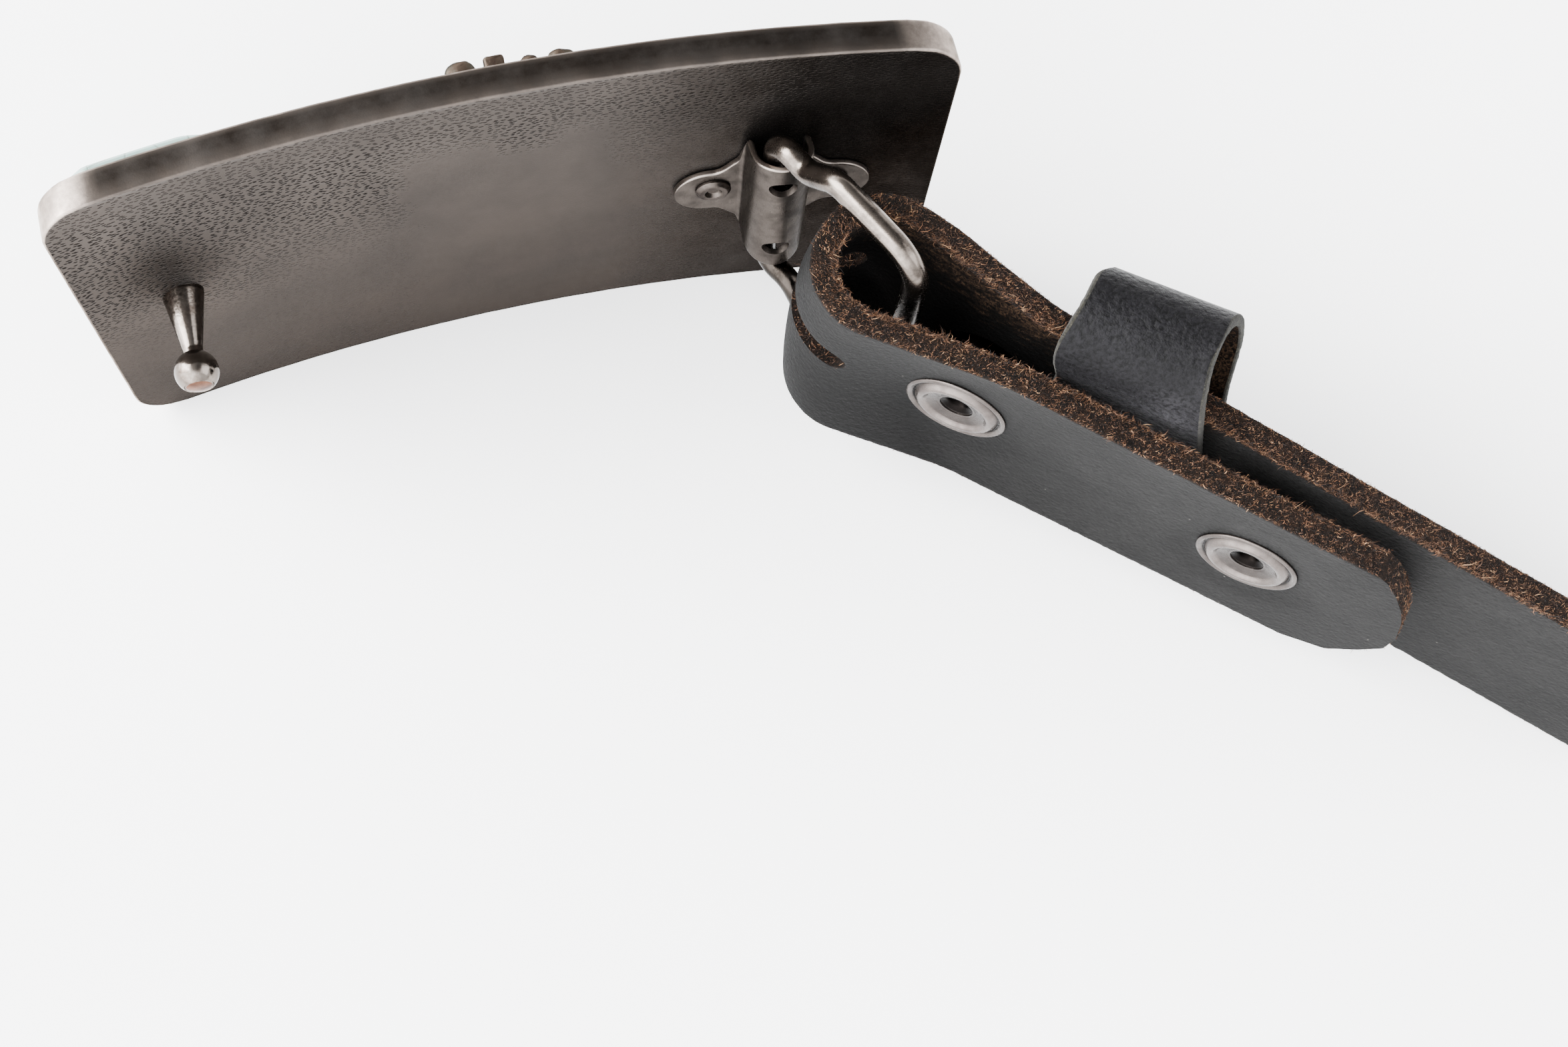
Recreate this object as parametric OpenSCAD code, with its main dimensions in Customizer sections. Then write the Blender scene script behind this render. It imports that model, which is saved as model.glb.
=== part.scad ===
// Curved plate buckle with a glazed ceramic front, and the folded strap end that carries it.
// Millimetres. The plate stands on its long edge: X runs along it, its hollow back faces -Y, and Z is up.

/* [Plate] */

// chord of the plate's back
plate_length = 107.4; // [80:0.2:130]
// height of the plate
plate_height = 59; // [40:0.5:80]
// metal thickness seen along the edges
plate_thickness = 4.2; // [3:0.1:6]
// how far the back is hollow from end to end
back_rise = 5; // [1:0.1:12]
// rounding of the four corners
corner_radius = 6; // [1:0.5:15]
// width of the metal rim round the ceramic
rim_width = 2.4; // [1.5:0.1:6]
// depth of the seat for the ceramic
seat_depth = 1.8; // [0.5:0.1:2.6]

/* [Ceramic and ornament] */

// how far the glazed face stands out past the rim
tile_proud = 1; // [0.2:0.1:2]
// play between the ceramic and its seat
tile_gap = 0.12; // [0.05:0.01:0.4]
// radius of the round ornament
ornament_radius = 24.6; // [12:0.1:26]
// groups of mound, block and bead round its border
ornament_groups = 12; // [6:1:14]

/* [Hook stud] */

// place of the stud along the plate
stud_x = -42.3; // [-48:0.1:-30]
// diameter of the ball end
ball_diameter = 5.4; // [3:0.1:8]
// distance of the ball's centre from the back
ball_reach = 10.4; // [6:0.1:16]
// diameter of the foot and of the neck
foot_diameter = 5; // [3:0.1:8]
neck_diameter = 2.5; // [1.5:0.1:5]

/* [Hinge bracket] */

// sheet thickness
sheet = 0.8; // [0.5:0.1:1.5]
// centre of the barrel in plan
barrel_x = 32.5; // [20:0.1:40]
barrel_y = -4.75; // [-6:0.05:-4]
// inside radius and height of the barrel
barrel_inner = 3.1; // [2.9:0.05:3.4]
barrel_height = 28; // [15:0.1:32]
// distance of each rivet from the barrel
rivet_reach = 7.55; // [6.5:0.05:10]
// height of the hardware's middle above the table
hardware_z = 30.2; // [20:0.1:40]

/* [Bail] */

// wire diameter
wire = 3.1; // [2:0.1:4]
// hinge axis in plan
hinge_x = 31.5; // [20:0.1:40]
hinge_y = -5.5; // [-8:0.1:-4]
// angle of the bail from the plate
bail_angle = 62.5; // [0:0.5:90]

/* [Strap] */

// strap width
strap_width = 32; // [20:0.5:45]
// leather thickness
leather = 3; // [1:0.1:3]
// where the strap's own axes start in plan
strap_x = 52.2; // [40:0.1:65]
strap_y = -25.1; // [-40:0.1:-10]
// angle of the strap from the plate, and its droop
strap_angle = 41.1; // [0:0.1:90]
strap_droop = 7.6; // [0:0.1:15]
// length of the main strap past its axes' start
strap_length = 103; // [60:0.5:140]
// length of the folded tab past the same place
tab_length = 67.4; // [40:0.2:90]
// rounding of the tab's upper and lower corner
tab_round_top = 15.5; // [2:0.5:15.5]
tab_round_low = 10.5; // [2:0.5:15.5]
// height and place across the strap of the prong slot
slot_height = 4.4; // [2:0.1:8]
slot_w = 2.5; // [-5:0.1:5]

/* [Snaps and keeper] */

// diameter of the ring faces
snap_diameter = 13.4; // [8:0.1:16]
// width and thickness of the keeper band
keeper_width = 19; // [8:0.1:30]
keeper_thickness = 1.4; // [1:0.1:3]
// place of the keeper along the strap
keeper_u = 22.8; // [15:0.1:50]
// lean and turn of the loose keeper
keeper_lean = 8; // [0:1:20]
keeper_turn = 5; // [-8:1:8]

/* [Hidden] */

$fn = 64;
back_radius = plate_length * plate_length / (8 * back_rise) + back_rise / 2;
front_radius = back_radius + plate_thickness;
ball_radius = ball_diameter / 2;
wire_radius = wire / 2;
cap_radius = snap_diameter / 2 - 1.1;
barrel_outer = barrel_inner + sheet;
// how far the barrel's ends slant, and the ears and rivets sit below its middle
end_slant = 3.2;
ear_radius = 4.7;
ear_drop = 1.9;
rivet_drop = 1;
clear = 0.1;
// overlap of a path's straights and bends, and how much fuller its bends are, so that they fuse
lap = 0.2;
fuller = 0.002;
fuller_wire = 0.03;

// columns: distance from the hinge axis, height from the middle, bend radius
bail_rows = [
    [0, -16.3, 2.8], [5.4, -15.6, 3], [10.2, -20.4, 4], [24.6, -20.4, 4.6],
    [24.6, 20.4, 4.6], [10.2, 20.4, 4], [5.4, 15.6, 3], [0, 16.3, 2.8]];

// columns: place along the strap, depth behind its axes, bend radius
strap_rows = [
    [strap_length, -2.95, 0], [-1.3, -2.95, 6], [-10.2, 0.1, 6], [-19.4, 0.1, 6.9],
    [-19.4, -16.85, 7.1], [-1, -10.6, 8], [tab_length, -8.85, 0]];

// columns: where the slot ends along the strap, and the turn towards the tab or the main strap
slot_ends = [[-12.3, 90], [-16.2, -90]];

// columns: depth, height across the strap, bend radius of the keeper's loop
keeper_rows = [
    [-7, -19, 2.6], [-7, 24, 6.5], [4.6, 24, 4.6], [4.6, 16.4, 4],
    [0.5, 10.5, 8], [0.5, -19, 2.6]];

// columns: place along the strap, then the depth, slope and slack of the tab's middle at the ring
snap_rows = [[4.6, -10.66, 2.9, 0.35], [46, -9.4, 1.47, 0]];

// y of the plate's back at x
function back_y(x) = sqrt(back_radius * back_radius - x * x) - back_radius;
function tilt_at(x) = asin(x / back_radius);

// Path helpers. Rows hold two coordinates and a bend radius.
function xy(r) = [r[0], r[1]];
function unit(v) = v / norm(v);
function heading(v) = atan2(v[1], v[0]);
function wrap(a) = a > 180 ? a - 360 : a <= -180 ? a + 360 : a;
function last(rows) = len(rows) - 1;
function before(rows, i, closed) = closed ? rows[(i + last(rows)) % len(rows)] : rows[max(i - 1, 0)];
function after(rows, i, closed) = closed ? rows[(i + 1) % len(rows)] : rows[min(i + 1, last(rows))];
function ends_here(rows, i, closed) = !closed && (i == 0 || i == last(rows));
function way_in(rows, i, closed) = unit(xy(rows[i]) - xy(before(rows, i, closed)));
function way_out(rows, i, closed) = unit(xy(after(rows, i, closed)) - xy(rows[i]));
function turn_at(rows, i, closed) = ends_here(rows, i, closed) ? 0 :
    wrap(heading(way_out(rows, i, closed)) - heading(way_in(rows, i, closed)));
function set_back(rows, i, closed) = rows[i][2] * tan(abs(turn_at(rows, i, closed)) / 2);

module rounded_plate(length, height, radius) {
    square([length - 2 * radius, height], center = true);
    square([length, height - 2 * radius], center = true);
    for (sx = [-1, 1], sz = [-1, 1])
        translate([sx * (length / 2 - radius), sz * (height / 2 - radius)]) circle(r = radius);
}

// a curved slab between two radii, with the outline of its children in the XZ plane
module curved_slab(inner, outer) {
    intersection() {
        translate([0, -back_radius, -20]) difference() {
            cylinder(r = outer, h = plate_height + 40, $fn = 256);
            translate([0, 0, -1]) cylinder(r = inner, h = plate_height + 42, $fn = 256);
        }
        rotate([90, 0, 0]) translate([0, 0, -20]) linear_extrude(height = 60) children();
    }
}

// moves its children on to the plate's back at x, facing away from it
module on_back(x, z) {
    translate([x, back_y(x), z]) rotate([90, 0, 0]) children();
}

// on the plate's back at a rivet, z pointing out of it
module at_rivet(s) {
    x = barrel_x + s * rivet_reach;
    on_back(x, hardware_z - rivet_drop) rotate([0, -tilt_at(x), 0]) children();
}

// ring sector between two headings, for a bend of a band
module bend_2d(radius, half, from, sweep) {
    reach = (radius + half) * 2.5;
    intersection() {
        difference() {
            circle(r = radius + half, $fn = 128);
            circle(r = radius - half, $fn = 128);
        }
        polygon([
            [0, 0], reach * [cos(from), sin(from)],
            reach * [cos(from + sweep / 2), sin(from + sweep / 2)],
            reach * [cos(from + sweep), sin(from + sweep)]]);
    }
}

// a band of even thickness along the rows
module band_2d(rows, thickness, closed) {
    for (i = [0 : closed ? last(rows) : last(rows) - 1]) {
        j = (i + 1) % len(rows);
        a = xy(rows[i]);
        b = xy(rows[j]);
        d = unit(b - a);
        from = a + d * (set_back(rows, i, closed) - (ends_here(rows, i, closed) ? 0 : lap));
        to = b - d * (set_back(rows, j, closed) - (ends_here(rows, j, closed) ? 0 : lap));
        translate(from) rotate(heading(d)) translate([0, -thickness / 2])
            square([norm(to - from), thickness]);
    }
    for (i = [0 : last(rows)]) if (!ends_here(rows, i, closed)) {
        t = turn_at(rows, i, closed);
        d = way_in(rows, i, closed);
        s = sign(t);
        start = xy(rows[i]) - d * set_back(rows, i, closed);
        centre = start + s * rows[i][2] * [-d[1], d[0]];
        translate(centre) bend_2d(rows[i][2], thickness / 2 + fuller, heading(d) - s * 90, t);
    }
}

// round wire along the closed rows, in the XZ plane
module wire_loop(rows, radius) {
    for (i = [0 : last(rows)]) {
        j = (i + 1) % len(rows);
        a = xy(rows[i]);
        b = xy(rows[j]);
        d = unit(b - a);
        from = a + d * (set_back(rows, i, true) - lap);
        to = b - d * (set_back(rows, j, true) - lap);
        t = turn_at(rows, i, true);
        e = way_in(rows, i, true);
        s = sign(t);
        start = a - e * set_back(rows, i, true);
        centre = start + s * rows[i][2] * [-e[1], e[0]];
        rotate([90, 0, 0]) {
            translate([from[0], from[1], 0]) rotate([0, 0, heading(d)]) rotate([0, 90, 0])
                cylinder(r = radius, h = norm(to - from), $fn = 32);
            translate([centre[0], centre[1], 0]) rotate([0, 0, heading(e) - s * 90 + min(t, 0)])
                rotate_extrude(angle = abs(t), $fn = 64) translate([rows[i][2], 0])
                    circle(r = radius + fuller_wire, $fn = 32);
        }
    }
}

// the strap's own axes: x along it, -y towards its tab, z across its width
module strap_frame() {
    translate([strap_x, strap_y, plate_height / 2]) rotate([0, 0, -strap_angle]) rotate([0, strap_droop, 0])
        children();
}

// the leather's middle at a snap, z facing out: on the tab for the ring, on the main strap for the cap
module at_ring(row) {
    translate([row[0], row[1], 0]) rotate([0, 0, row[2]]) rotate([90, 0, 0]) children();
}
module at_cap(row) {
    translate([row[0], strap_rows[0][1], 0]) rotate([-90, 0, 0]) children();
}
function snap_gap(row) = strap_rows[0][1] - row[1] - leather;

module plate() {
    color([0.45, 0.43, 0.41]) difference() {
        curved_slab(back_radius, front_radius)
            translate([0, plate_height / 2]) rounded_plate(plate_length, plate_height, corner_radius);
        curved_slab(front_radius - seat_depth, front_radius + 5) translate([0, plate_height / 2])
            rounded_plate(
                plate_length - 2 * rim_width, plate_height - 2 * rim_width, corner_radius - rim_width);
        on_back(stud_x, hardware_z + 0.4) translate([0, 0, -1.6]) cylinder(r = 1.2 + clear, h = 5);
        for (s = [-1, 1]) at_rivet(s) translate([0, 0, -1.6]) cylinder(r = 0.9 + clear, h = 5);
    }
}

module ceramic_tile() {
    side = 2 * (rim_width + tile_gap);
    color([0.55, 0.8, 0.76]) curved_slab(front_radius - seat_depth + tile_gap, front_radius + tile_proud)
        translate([0, plate_height / 2])
            rounded_plate(plate_length - side, plate_height - side, corner_radius - rim_width - tile_gap);
}

// round relief: a border of mounds, blocks and beads, and a boss with a ring of beads
module ornament() {
    step = 360 / ornament_groups;
    foot = tile_proud + plate_thickness;
    color([0.3, 0.24, 0.19]) difference() {
        translate([0, 0, plate_height / 2]) rotate([-90, 0, 0]) union() {
            translate([0, 0, foot - 1.2]) cylinder(r = ornament_radius - 1.2, h = 2.1, $fn = 96);
            translate([0, 0, foot + 0.9]) rotate_extrude($fn = 96)
                translate([ornament_radius - 6.4, 0]) circle(r = 0.9, $fn = 24);
            for (k = [0 : ornament_groups - 1]) rotate([0, 0, k * step]) {
                translate([-1.25, -ornament_radius - 0.4, foot - 1.4]) cube([2.5, 3.2, 5.2]);
                rotate([0, 0, -step / 3]) translate([0, -ornament_radius + 1.4, foot - 1.2])
                    cylinder(r1 = 2, r2 = 1.3, h = 3.4, $fn = 32);
                rotate([0, 0, step / 3]) translate([0, -ornament_radius + 1, foot + 0.9])
                    sphere(r = 1.3, $fn = 32);
            }
            for (k = [0 : 7]) rotate([0, 0, k * 45 + 22.5]) translate([0, 11.2, foot + 0.7])
                sphere(r = 2.7, $fn = 32);
            translate([0, 0, foot - 3.4]) sphere(r = 8, $fn = 64);
        }
        translate([0, -back_radius, -1]) cylinder(r = front_radius + tile_proud + clear, h = 80, $fn = 256);
    }
}

module hook_stud() {
    color([0.62, 0.6, 0.57]) {
        on_back(stud_x, hardware_z + 0.4) translate([0, 0, -1.5]) cylinder(r = 1.2, h = 4);
        intersection() {
            on_back(stud_x, hardware_z + 0.4) rotate_extrude() difference() {
                union() {
                    polygon([
                        [0, -1], [foot_diameter / 2, -1], [foot_diameter / 2, 0.9],
                        [neck_diameter / 2, ball_reach - 1.8], [neck_diameter / 2, ball_reach], [0, ball_reach]]);
                    translate([0, ball_reach]) circle(r = ball_radius, $fn = 64);
                }
                translate([-20, -10]) square([20, 40]);
                translate([0, ball_reach + ball_radius - 0.35]) square([4, 2]);
            }
            translate([0, -back_radius, 0]) cylinder(r = back_radius - clear, h = plate_height, $fn = 256);
        }
    }
}

// outline of the bracket's two ears and of the strip under its barrel
module ears_2d() {
    ear = rivet_reach + 0.3;
    root = barrel_height / 2 - end_slant;
    square([2 * barrel_outer + 0.8, 2 * root], center = true);
    for (s = [-1, 1]) {
        translate([s * ear, -ear_drop]) circle(r = ear_radius);
        polygon([
            [0, root - 1], [s * (barrel_outer + 0.6), root - 1], [s * (barrel_outer + 1.4), root - 5],
            [s * ear, ear_radius - ear_drop], [s * ear, -ear_radius - ear_drop],
            [s * (barrel_outer + 1.4), 3 - root], [s * (barrel_outer + 0.6), 1 - root], [0, 1 - root]]);
    }
}

module bracket() {
    color([0.5, 0.48, 0.45]) difference() {
        union() {
            curved_slab(back_radius - clear - sheet, back_radius - clear)
                translate([barrel_x, hardware_z]) ears_2d();
            translate([barrel_x, barrel_y, hardware_z]) intersection() {
                translate([0, 0, -barrel_height / 2]) {
                    cylinder(r = barrel_outer, h = barrel_height);
                    translate([-barrel_outer, 0, 0]) cube([2 * barrel_outer, -barrel_y, barrel_height]);
                }
                // its ends slant down towards the plate, and its back is curved as the plate is
                rotate([90, 0, 90]) translate([0, 0, -10]) linear_extrude(height = 20) polygon([
                    [-barrel_outer - 1, -barrel_height / 2], [3, end_slant - barrel_height / 2],
                    [3, barrel_height / 2 - end_slant], [-barrel_outer - 1, barrel_height / 2]]);
                translate([-barrel_x, -barrel_y - back_radius, -plate_height / 2])
                    cylinder(r = back_radius - 3 * clear, h = plate_height, $fn = 256);
            }
        }
        translate([barrel_x, barrel_y, 0]) {
            cylinder(r = barrel_inner, h = plate_height);
            translate([-barrel_inner, 0, 0])
                cube([2 * barrel_inner, back_y(barrel_x) - barrel_y + 0.4, plate_height]);
        }
        for (s = [-1, 1]) {
            translate([barrel_x, barrel_y, hardware_z + s * 8.3]) rotate([90, 0, 0]) cylinder(r = 1.7, h = 9);
            at_rivet(s) translate([0, 0, -2]) cylinder(r = 0.9 + clear, h = 6);
        }
    }
}

module rivet(s) {
    color([0.55, 0.52, 0.48]) at_rivet(s) rotate_extrude()
        polygon([
            [0, -1.5], [0.9, -1.5], [0.9, sheet + 2 * clear], [2.3, sheet + 2 * clear], [2.3, sheet + 0.4],
            [1.9, sheet + 0.85], [1.2, sheet + 0.85], [0.8, sheet + 0.35], [0, sheet + 0.35]]);
}

module bail() {
    color([0.66, 0.64, 0.6]) translate([hinge_x, hinge_y, hardware_z]) rotate([0, 0, -bail_angle])
        wire_loop(bail_rows, wire_radius);
}

module strap() {
    end = last(strap_rows);
    slope = snap_rows[1][2];
    rounds = [[1, tab_round_top], [-1, tab_round_low]];
    color([0.13, 0.13, 0.14]) strap_frame() difference() {
        translate([0, 0, -strap_width / 2]) linear_extrude(height = strap_width)
            band_2d(strap_rows, leather, false);
        // rounded corners of the tab
        for (c = rounds) translate([tab_length, strap_rows[end][1], 0]) rotate([0, 0, slope])
            rotate([90, 0, 0]) translate([0, 0, -3]) linear_extrude(height = 6) difference() {
                translate([-c[1], c[0] > 0 ? strap_width / 2 - c[1] : -strap_width / 2 - 1])
                    square([c[1] + 2, c[1] + 1]);
                translate([-c[1], c[0] * (strap_width / 2 - c[1])]) circle(r = c[1]);
            }
        // prong slot round the fold
        for (row = slot_ends) translate([row[0], -7, slot_w]) rotate([row[1], 0, 0]) {
            cylinder(r = slot_height / 2, h = 14);
            translate([-14, -slot_height / 2, 0]) cube([14, slot_height, 14]);
        }
        translate([-30, -8, slot_w - slot_height / 2]) cube([13.8, 2, slot_height]);
        // holes of the snaps
        for (row = snap_rows) {
            at_ring(row) translate([0, 0, -3]) cylinder(r = 2.2 + clear, h = 6);
            at_cap(row) translate([0, 0, -3]) cylinder(r = 1.8 + clear, h = 6);
        }
    }
}

// ring face on the tab, its barrel through the leather, and the stud behind it
module snap_ring(row) {
    face = leather / 2;
    under = face + row[3];
    stud = snap_gap(row) - 1.1;
    rim = snap_diameter / 2;
    color([0.66, 0.64, 0.62]) strap_frame() at_ring(row) rotate_extrude() polygon([
        [1.1, -face - stud], [2, -face - stud], [2.3, -face - stud + 0.5], [2.3, -under - 0.7],
        [4.8, -under - 0.7], [4.8, -under - clear], [2.2, -under - clear], [2.2, face + clear],
        [rim, face + clear], [rim, face + 0.35], [rim - 0.5, face + 0.6], [rim - 1, face + 0.35],
        [rim - 1.5, face + 0.35], [rim - 2.1, face + 0.85], [3.4, face + 0.95], [2.4, face + 0.6],
        [1.5, face - 0.4], [1.1, face - 1.4]]);
}

// cap on the main strap's outer face, its shank, and the socket inside
module snap_cap(row) {
    face = leather / 2;
    deep = snap_gap(row) * 0.46;
    color([0.6, 0.58, 0.56]) strap_frame() at_cap(row) rotate_extrude() polygon([
        [0, -face - 0.6], [3, -face - 0.6], [3, -face - deep], [5, -face - deep], [5.3, -face - deep + 0.4],
        [5.3, -face - clear], [1.8, -face - clear], [1.8, face + clear], [cap_radius, face + clear],
        [cap_radius, face + 0.5], [cap_radius - 0.8, face + 0.95], [cap_radius - 3, face + 1.25],
        [0, face + 1.4]]);
}

module keeper() {
    color([0.1, 0.1, 0.12]) strap_frame() translate([keeper_u, 0, 0]) rotate([0, -keeper_lean, 0])
        translate([0, -3, 0]) rotate([0, 0, keeper_turn]) translate([0, 3, 0])
            translate([-keeper_width / 2, 0, 0]) rotate([90, 0, 90]) linear_extrude(height = keeper_width)
                band_2d(keeper_rows, keeper_thickness, true);
}

plate();
ceramic_tile();
ornament();
hook_stud();
bracket();
rivet(-1);  // rivet_left
rivet(1);  // rivet_right
bail();
strap();
snap_ring(snap_rows[0]);  // snap_ring_1
snap_ring(snap_rows[1]);  // snap_ring_2
snap_cap(snap_rows[0]);  // snap_cap_1
snap_cap(snap_rows[1]);  // snap_cap_2
keeper();
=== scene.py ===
import math

import bpy
import numpy as np
from mathutils import Matrix, Vector


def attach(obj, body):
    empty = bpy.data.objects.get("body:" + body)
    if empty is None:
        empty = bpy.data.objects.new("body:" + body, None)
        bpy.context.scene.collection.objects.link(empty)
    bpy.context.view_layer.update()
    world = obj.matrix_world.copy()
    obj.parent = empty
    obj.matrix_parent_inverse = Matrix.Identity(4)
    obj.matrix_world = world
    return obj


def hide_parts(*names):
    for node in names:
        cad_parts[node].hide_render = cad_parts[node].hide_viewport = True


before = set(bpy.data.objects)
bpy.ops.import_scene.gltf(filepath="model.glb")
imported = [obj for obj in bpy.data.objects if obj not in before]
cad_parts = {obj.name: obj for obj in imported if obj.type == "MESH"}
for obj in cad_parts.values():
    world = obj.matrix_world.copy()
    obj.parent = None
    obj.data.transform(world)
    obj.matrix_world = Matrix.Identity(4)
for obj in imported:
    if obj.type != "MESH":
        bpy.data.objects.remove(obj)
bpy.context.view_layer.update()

MM = 0.001
rng = np.random.default_rng(11)

# ---- dimensions shared with the solids, in millimetres ----
LENGTH, HEIGHT, THICK, CORNER = 107.4, 59.0, 4.2, 6.0
BACK_RADIUS = 290.87
RIM, SEAT, PROUD, PLAY = 2.4, 1.8, 1.0, 0.12
HARDWARE_Z, STUD_X = 30.2, -42.3
BARREL = np.array([32.5, -4.75])
BARREL_INNER, SHEET, RIVET_REACH, RIVET_DROP = 3.1, 0.8, 7.55, 1.0
EAR_REACH, EAR_RADIUS, EAR_DROP = 7.85, 4.7, 1.9
WINDOW_UP, WINDOW_RADIUS = 8.3, 1.7
HINGE, BAIL_ANGLE, WIRE = (31.5, -5.5), 62.5, 3.1
STRAP_AT, STRAP_ANGLE, STRAP_DROOP = (52.2, -25.1, 29.5), 41.1, 7.6
HALF_WIDTH, LEATHER, MAIN_Y, STRAP_END = 16.0, 3.0, -2.95, 103
SLOT_ENDS, SLOT_Z, SLOT_RADIUS = (-16.2, -12.3), 2.5, 2.2
SNAPS, SNAP_HOLE = [(4.6, -10.66, 2.9), (46.0, -9.4, 1.47)], 2.25
FACE = LEATHER / 2


# ---- small geometry helpers ----
def smooth(low, high, x):
    t = np.clip((x - low) / (high - low), 0, 1)
    return t * t * (3 - 2 * t)


def unit(v):
    return v / np.maximum(np.linalg.norm(v, axis=-1, keepdims=True), 1e-12)


def back_y(x):
    return np.sqrt(BACK_RADIUS**2 - np.asarray(x, float) ** 2) - BACK_RADIUS


def turned(angle, axis):
    return np.array(Matrix.Rotation(math.radians(angle), 4, axis))


def moved(x, y, z):
    return np.array(Matrix.Translation((x, y, z)))


def put(matrix, points):
    """Points moved by a matrix, as one list."""
    return np.reshape(points, (-1, 3)) @ matrix[:3, :3].T + matrix[:3, 3]


def lifted(rows, height):
    """Rows of a profile that are measured from a face at this height."""
    return np.array(rows) + [0, height, 0]


STRAP = moved(*STRAP_AT) @ turned(-STRAP_ANGLE, "Z") @ turned(STRAP_DROOP, "Y")


def grid(rows, columns, wrap_rows=False, wrap_columns=False, start=0):
    """Quads over rows x columns of vertices that are numbered row by row."""
    i = np.arange(rows if wrap_rows else rows - 1)[:, None]
    j = np.arange(columns if wrap_columns else columns - 1)
    i2, j2 = (i + 1) % rows, (j + 1) % columns
    quads = np.stack([i * columns + j, i * columns + j2, i2 * columns + j2, i2 * columns + j], -1)
    return (quads.reshape(-1, 4) + start).tolist()


def fillet(rows, bends, straights, closed=False):
    """Points along a path with rounded bends. Rows hold two coordinates and a radius."""
    rows = np.asarray(rows, float)
    count, arcs, parts = len(rows), [], []
    for i in range(count):
        here = rows[i, :2]
        if not closed and i in (0, count - 1):
            arcs.append(here[None])
            continue
        into, out = unit(here - rows[i - 1, :2]), unit(rows[(i + 1) % count, :2] - here)
        turn = math.atan2(into[0] * out[1] - into[1] * out[0], into @ out)
        radius, side = rows[i, 2], math.copysign(1, turn)
        begin = here - into * radius * math.tan(abs(turn) / 2)
        centre = begin + side * radius * np.array([-into[1], into[0]])
        first = math.atan2(begin[1] - centre[1], begin[0] - centre[0])
        a = first + turn * np.linspace(0, 1, bends[i])
        arcs.append(centre + radius * np.stack([np.cos(a), np.sin(a)], 1))
    for i, arc in enumerate(arcs):
        parts.append(arc)
        if i < count - 1 or closed:
            a, b = arc[-1], arcs[(i + 1) % count][0]
            t = np.linspace(0, 1, straights[i] + 2)[1:-1, None]
            parts.append(a + (b - a) * t)
    return np.concatenate(parts)


def side_of(path, closed=False):
    """Unit normals to the left of a path of points."""
    d = unit(np.roll(path, -1, 0) - np.roll(path, 1, 0) if closed else np.gradient(path, axis=0))
    return np.stack([-d[:, 1], d[:, 0]], 1)


def lengths(paths):
    """How far along its path each point lies."""
    steps = np.linalg.norm(np.diff(paths, axis=0), axis=-1)
    return np.concatenate([np.zeros_like(steps[:1]), np.cumsum(steps, 0)])


def section(across, edge):
    """Columns round the section of a band with rounded edges, one face and edge and then the others:
    share and corner part across it, the same through its thickness, and whether it is on a face."""
    a, k, bend = np.linspace(-1, 1, across), np.linspace(-1, 1, edge), np.radians([30.0, 60.0])
    one, full, b = np.ones(across), np.ones(edge), np.ones(2)
    half = np.concatenate([
        np.stack([a, 0 * a, -one, -one, one], 1),
        np.stack([b, np.sin(bend), -b, -np.cos(bend), 0 * b], 1),
        np.stack([full, full, k, 0 * k, 0 * k], 1),
        np.stack([b, np.cos(bend), b, np.sin(bend), 0 * b], 1)])
    return np.concatenate([half, half * [-1, -1, -1, -1, 1]])


def offsets(columns, first, half, radius):
    """How far columns of a section lie from its middle, across it (first 0) or through it (first 2)."""
    return columns[:, first] * (half - radius) + columns[:, first + 1] * radius


def pierce(points, across, distance, place):
    """Cuts holes through a band of rows x columns. distance gives how far outside the nearest hole a place
    is. Returns the points, what is left of each quad, or None, and the faces that line the holes."""
    rows, count = points.shape[:2]
    other, step = count // 2, 1e-3
    p, q = place
    d = distance(p, q)
    slope_p = (distance(p + step, q) - d) / step
    slope_q = (distance(p, q + step) - d) / step
    along = unit(np.gradient(points, axis=0))
    over = unit(np.roll(points, -1, 1) - np.roll(points, 1, 1))
    over[:, other:other + across] *= -1
    # vertices nearer to the edge than this move on to it
    cell = 0.62 * max(np.median(np.abs(np.diff(v, axis=n))) for n, v in enumerate((p, q[:, :across])))
    face = np.zeros(count, bool)
    face[1:across - 1] = face[other + 1:other + across - 1] = True
    near = (np.abs(d) < cell) & face
    outward = slope_p[..., None] * along + slope_q[..., None] * over
    points = points + np.where(near, -d, 0)[..., None] * outward
    gone = ((d <= -cell) & face).ravel()
    near = near.ravel()
    kept, edges = [], {}
    for f in grid(rows, count, wrap_columns=True):
        left = [v for v in f if not gone[v]]
        kept.append(left if len(left) > 2 else None)
        if kept[-1] and f[0] % count < across - 1:
            for a, b in zip(left, left[1:] + left[:1]):
                if near[a] and near[b]:
                    key = (min(a, b), max(a, b))
                    edges[key] = None if key in edges else (a, b)
    # from a column of the first face to the one behind it
    through = other + across - 1 - 2 * np.arange(across)
    walls = [[b, a, int(a + through[a % count]), int(b + through[b % count])]
             for a, b in filter(None, edges.values())]
    return points, kept, walls


def lathe(profile, segments):
    """Vertices and faces of a profile of radius and height turned about z. Ends at radius 0 close."""
    r, z = np.asarray(profile, float).T[..., None]
    a = np.linspace(0, 2 * math.pi, segments, endpoint=False)
    points = np.stack([r * np.cos(a), r * np.sin(a), z + 0 * a], -1).reshape(-1, 3)
    return points, grid(len(profile), segments, wrap_columns=True)


def add_object(name, data):
    obj = bpy.data.objects.new(name, data)
    bpy.context.scene.collection.objects.link(obj)
    return obj


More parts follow.
